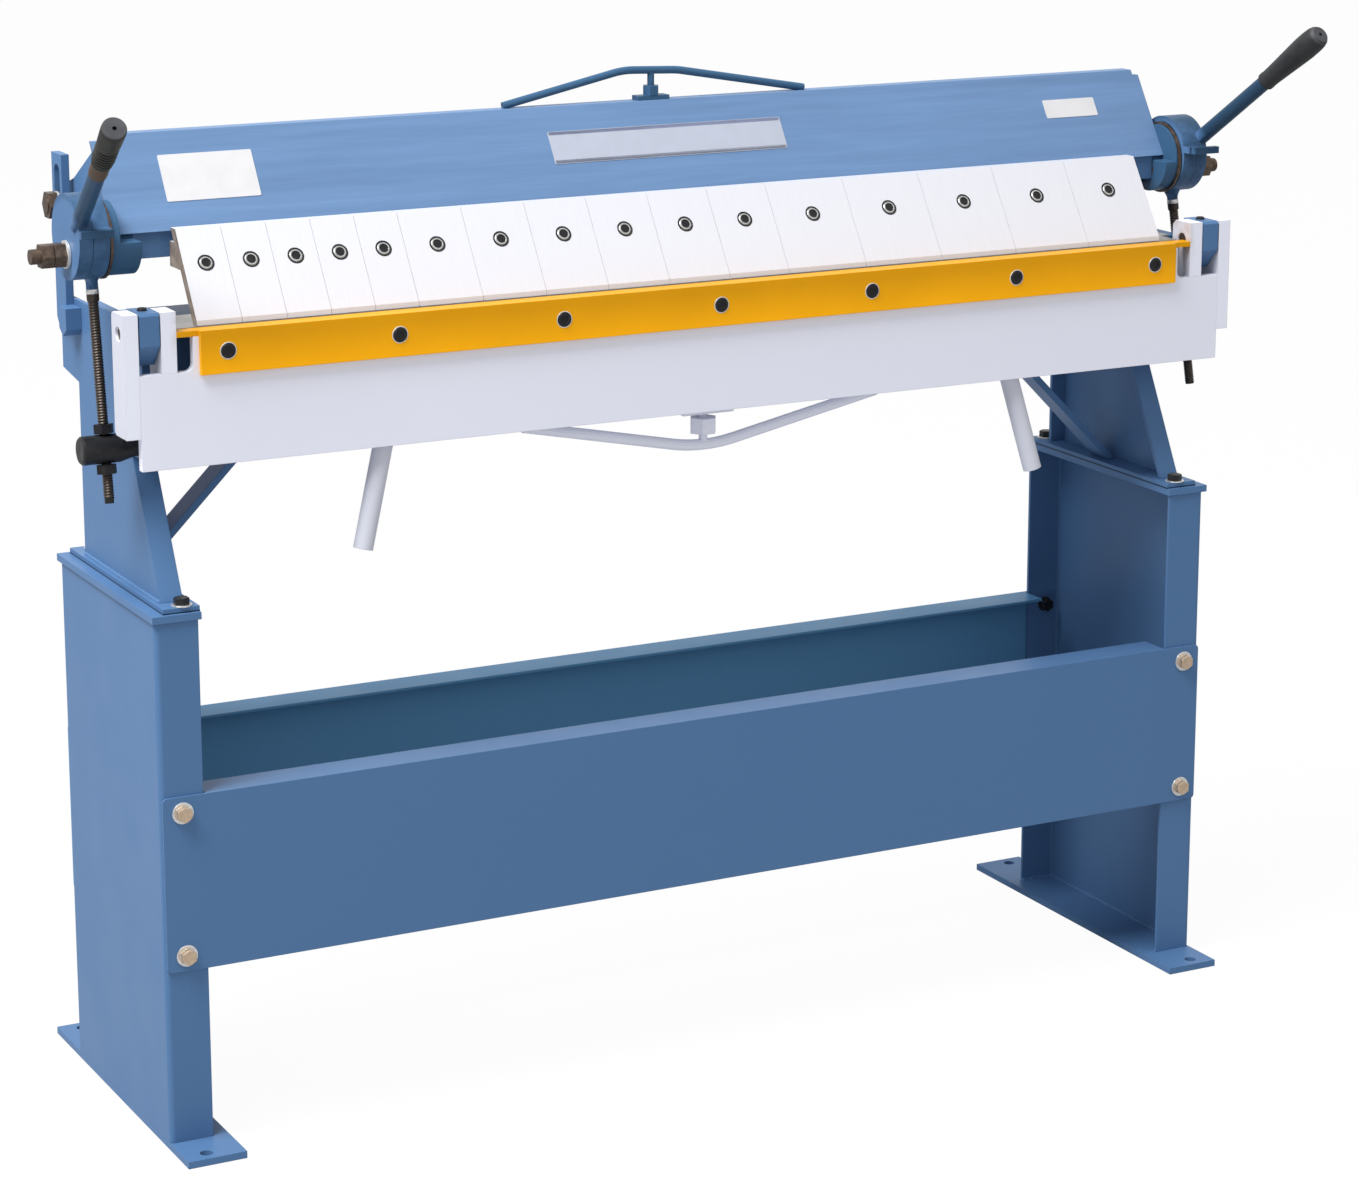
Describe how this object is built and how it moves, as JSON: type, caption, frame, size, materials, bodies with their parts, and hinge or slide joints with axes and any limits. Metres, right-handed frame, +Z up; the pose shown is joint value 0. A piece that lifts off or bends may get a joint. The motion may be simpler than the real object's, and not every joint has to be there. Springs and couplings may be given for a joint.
{
  "type": "box and pan brake",
  "caption": "Floor-standing box and pan brake: channel legs, fingered clamping beam with an eccentric lever at each end, folding apron with two handles.",
  "frame": {"origin": "on the floor, midway between the four anchor holes of the feet", "axes": "+X along the bed to the operator's right, -Y towards the operator, +Z up"},
  "size_m": [1.5128, 0.5165, 1.1687],
  "materials": {
    "paint_blue": "gloss",
    "paint_pale": "gloss",
    "paint_yellow": "gloss",
    "steel": "satin",
    "zinc": "satin",
    "black_steel": "satin",
    "rubber": "matte"
  },
  "bodies": {
    "stand": {"leg_left": "paint_blue", "leg_right": "paint_blue", "foot_plate_left": "paint_blue", "foot_plate_right": "paint_blue", "frame_seat_left": "paint_blue", "frame_seat_right": "paint_blue", "end_frame_left": "paint_blue", "end_frame_right": "paint_blue", "end_strut_left": "paint_blue", "end_strut_right": "paint_blue", "end_plate_left": "paint_blue", "end_plate_right": "paint_blue", "slotted_bar_left": "paint_blue", "slotted_bar_right": "paint_blue", "rear_pivot_left": "zinc", "rear_pivot_right": "zinc", "hinge_pin_left": "steel", "hinge_pin_right": "steel", "frame_bolts_left": "black_steel", "frame_bolts_right": "black_steel", "front_panel": "paint_blue", "rear_panel": "paint_blue", "panel_bolts": "zinc", "bed_plate": "steel", "bed_trough": "paint_blue"},
    "apron": {"inner_cheek_left": "paint_pale", "inner_cheek_right": "paint_pale", "outer_cheek_left": "paint_pale", "outer_cheek_right": "paint_pale", "apron_handle_left": "paint_pale", "apron_handle_right": "paint_pale", "apron_plate": "paint_pale", "bending_blade": "paint_yellow", "blade_screws": "zinc", "apron_truss": "steel"},
    "clamping_beam": {"beam_end_left": "paint_blue", "beam_end_right": "paint_blue", "shaft_block_left": "paint_blue", "shaft_block_right": "paint_blue", "clamp_shaft_left": "steel", "clamp_shaft_right": "steel", "beam_front": "paint_blue", "beam_rear": "paint_blue", "beam_floor": "paint_blue", "clamp_bar": "paint_blue", "fingers": "paint_pale", "finger_screws": "zinc", "beam_truss": "steel"},
    "clamp_lever_left": {"lever_left": "paint_blue", "lever_grip_left": "rubber"},
    "clamp_link_left": {"strap_left": "paint_blue", "clamp_rod_left": "black_steel", "trunnion_left": "black_steel"},
    "clamp_lever_right": {"lever_right": "paint_blue", "lever_grip_right": "rubber"},
    "clamp_link_right": {"strap_right": "paint_blue", "clamp_rod_right": "black_steel", "trunnion_right": "black_steel"}
  },
  "joints": [
    {"name": "apron_fold", "type": "hinge", "parent": "stand", "child": "apron", "pos_m": [0, -0.154, 0.905], "axis": [-1, 0, 0], "range_deg": [0, 115]},
    {"name": "beam_lift", "type": "hinge", "parent": "stand", "child": "clamping_beam", "pos_m": [0, 0.133, 1], "axis": [-1, 0, 0], "range_deg": [0, 7.8]},
    {"name": "lever_turn_left", "type": "hinge", "parent": "clamping_beam", "child": "clamp_lever_left", "pos_m": [-0.713, -0.068, 0.978], "axis": [-1, 0, 0], "range_deg": [0, 117.8]},
    {"name": "link_swing_left", "type": "hinge", "parent": "stand", "child": "clamp_link_left", "pos_m": [-0.696, -0.096, 0.772], "axis": [-1, 0, 0], "range_deg": [0, 3.5]},
    {"name": "lever_turn_right", "type": "hinge", "parent": "clamping_beam", "child": "clamp_lever_right", "pos_m": [0.697, -0.068, 0.978], "axis": [-1, 0, 0], "range_deg": [0, 117.8]},
    {"name": "link_swing_right", "type": "hinge", "parent": "stand", "child": "clamp_link_right", "pos_m": [0.68, -0.096, 0.772], "axis": [-1, 0, 0], "range_deg": [0, 3.5]}
  ],
  "couplings": [
    {"joint": "lever_turn_left", "follows": "beam_lift", "ratio": 15.1},
    {"joint": "link_swing_left", "follows": "beam_lift", "ratio": 0.44},
    {"joint": "lever_turn_right", "follows": "beam_lift", "ratio": 15.1},
    {"joint": "link_swing_right", "follows": "beam_lift", "ratio": 0.44}
  ]
}
